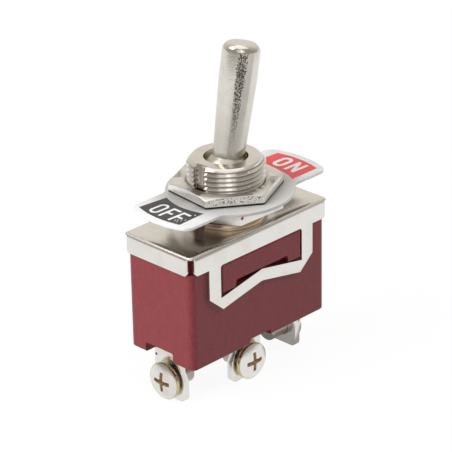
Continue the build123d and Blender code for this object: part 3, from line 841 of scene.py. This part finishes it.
# Camera at the photograph's angle, as it was fitted to points of the photo
AZIMUTH, ELEVATION, ROLL = (math.radians(a) for a in (-45.26, 24.99, -1.08))
CAMERA_DISTANCE = 349.8 * MM
SIDE_SHIFT, UP_SHIFT = -0.14 * MM, -1.83 * MM
LENS, SENSOR_WIDTH = 184.6, 36.0
back = Vector((
    math.sin(AZIMUTH) * math.cos(ELEVATION), -math.cos(AZIMUTH) * math.cos(ELEVATION), math.sin(ELEVATION),
))
level_right = Vector((math.cos(AZIMUTH), math.sin(AZIMUTH), 0))
level_up = back.cross(level_right)
right = level_right * math.cos(ROLL) + level_up * math.sin(ROLL)
up = level_up * math.cos(ROLL) - level_right * math.sin(ROLL)
camera = bpy.data.objects.new("camera", bpy.data.cameras.new("camera"))
camera.data.lens = LENS
camera.data.sensor_width = SENSOR_WIDTH
camera.data.clip_start = 0.01
camera.data.clip_end = 50.0
camera.matrix_world = Matrix.Translation(
    right * SIDE_SHIFT + up * UP_SHIFT + back * CAMERA_DISTANCE
) @ Matrix((right, up, back)).transposed().to_4x4()
bpy.context.scene.collection.objects.link(camera)
bpy.context.scene.camera = camera


# White floor. It shows as white and keeps a faint shadow. The metal sees darker patches in it: a dark gap
# in front of the switch, two paler ones beside and before it, and the shade under the housing.
# Each patch has its stops in azimuth (degrees) and in distance from the switch (metres), and a depth.
FLOOR_SIZE = 6.0
FLOOR_CLEARANCE = 0.02 * MM
WHITE = (1, 1, 1)
DARK = (0.03, 0.02, 0.015)
LIT_GREY = (0.45, 0.45, 0.45)
FLOOR_PATCHES = [
    ((-156, -146, -112, -104), (0.15, 0.28, 0.6, 0.8), 0.7),
    ((-112, -96, -62, -38), (0.1, 0.26, 0.6, 0.8), 0.32),
    ((-200, -190, -60, -50), (0.08, 0.11, 0.17, 0.26), 0.4),
    ((-35, -20, 100, 120), (-0.02, -0.01, 0.016, 0.035), 0.6),
]
# How much of the floor glows by itself for each kind of ray. The rest is lit by the lamps.
GLOW = {"Is Camera Ray": 0.93, "Is Glossy Ray": 0.85, "Is Transmission Ray": 0.8}


def floor_material():
    """A white that glows for what looks at it and is lit for the rest, with the dark patches for metal."""
    made = bpy.data.materials.new("white_floor")
    made.use_nodes = True
    nodes = made.node_tree.nodes
    nodes.remove(nodes["Principled BSDF"])
    output = next(n for n in nodes if n.type == "OUTPUT_MATERIAL")
    path = nodes.new("ShaderNodeLightPath")
    lit = nodes.new("ShaderNodeBsdfDiffuse")
    link(made, blend_colours(made, path.outputs["Is Camera Ray"], LIT_GREY, WHITE), lit.inputs["Color"])
    point = nodes.new("ShaderNodeTexCoord")
    x, y, z = split(made, point.outputs["Object"])
    azimuth = maths(made, "ARCTAN2", y, x)
    reach = distance_2d(made, x, y)
    gap = 0.0
    for azimuths, reaches, depth in FLOOR_PATCHES:
        beam = between(made, azimuth, [math.radians(a) for a in azimuths])
        patch = maths(made, "MULTIPLY", beam, between(made, reach, reaches))
        gap = maths(made, "MAXIMUM", maths(made, "MULTIPLY", patch, depth), gap)
    seen = maths(made, "MULTIPLY", gap, path.outputs["Is Glossy Ray"])
    white = nodes.new("ShaderNodeEmission")
    link(made, blend_colours(made, seen, WHITE, DARK), white.inputs["Color"])
    share = 0.0
    for ray, amount in GLOW.items():
        share = maths(made, "ADD", maths(made, "MULTIPLY", path.outputs[ray], amount), share)
    mix = nodes.new("ShaderNodeMixShader")
    link(made, share, mix.inputs[0])
    link(made, lit.outputs[0], mix.inputs[1])
    link(made, white.outputs[0], mix.inputs[2])
    link(made, mix.outputs[0], output.inputs["Surface"])
    return made


bpy.ops.mesh.primitive_plane_add(size=FLOOR_SIZE, location=(0, 0, FLOOR_LEVEL - FLOOR_CLEARANCE))
floor = bpy.context.object
floor.name = "floor"
floor.data.materials.append(floor_material())


# Room: white to the camera, and to the switch a dim warm grey with a paler wall behind.
# The matt surfaces get a smaller share of it, so that the lamps' shadows show.
MATT_SHARE = 0.5
DIM_GREY, PALE_WALL = (0.36, 0.335, 0.3), (0.8, 0.76, 0.69)
WALL_DIRECTION = Vector((0.644, 0.638, 0.42)).normalized()


def room():
    """The world, with the same node helpers as a material."""
    world = bpy.data.worlds.new("room")
    bpy.context.scene.world = world
    world.use_nodes = True
    nodes = world.node_tree.nodes
    background = nodes["Background"]
    rays = nodes.new("ShaderNodeLightPath").outputs
    towards = nodes.new("ShaderNodeVectorMath")
    towards.operation = "DOT_PRODUCT"
    towards.inputs[1].default_value = WALL_DIRECTION
    link(world, nodes.new("ShaderNodeTexCoord").outputs["Generated"], towards.inputs[0])
    walls = blend_colours(world, towards.outputs["Value"], DIM_GREY, PALE_WALL)
    link(world, blend_colours(world, rays["Is Camera Ray"], walls, WHITE), background.inputs["Color"])
    seen = maths(world, "MAXIMUM", rays["Is Camera Ray"], rays["Is Glossy Ray"])
    link(world, maths(world, "MAXIMUM", seen, MATT_SHARE), background.inputs["Strength"])


room()


def softbox(name, place_at, width, height, power, mirrored=False):
    """A lamp with its place and size in metres, aimed at the switch. Metal shows it only if mirrored."""
    lamp = bpy.data.lights.new(name, "AREA")
    lamp.shape = "RECTANGLE"
    lamp.size = width
    lamp.size_y = height
    lamp.energy = power
    made = bpy.data.objects.new(name, lamp)
    bpy.context.scene.collection.objects.link(made)
    made.location = place_at
    made.visible_glossy = mirrored
    made.rotation_euler = (-Vector(place_at)).to_track_quat("-Z", "Y").to_euler()


softbox("key", (-0.48, 0.1, 0.24), 0.4, 0.4, 3.3)
softbox("fill", (0.46, -0.3, 0.36), 0.12, 0.12, 2.1)
softbox("overhead", (0.0, -0.01, 0.55), 0.5, 0.5, 0.52, True)
softbox("back_light", (-0.27, 0.21, 0.42), 0.26, 0.26, 0.5, True)
softbox("window", (-0.34, -0.34, 0.36), 0.5, 0.35, 0.28, True)
softbox("window_bar", (-0.28, -0.35, 0.35), 0.1, 0.3, 0.075, True)

bpy.context.scene.view_settings.view_transform = "Standard"
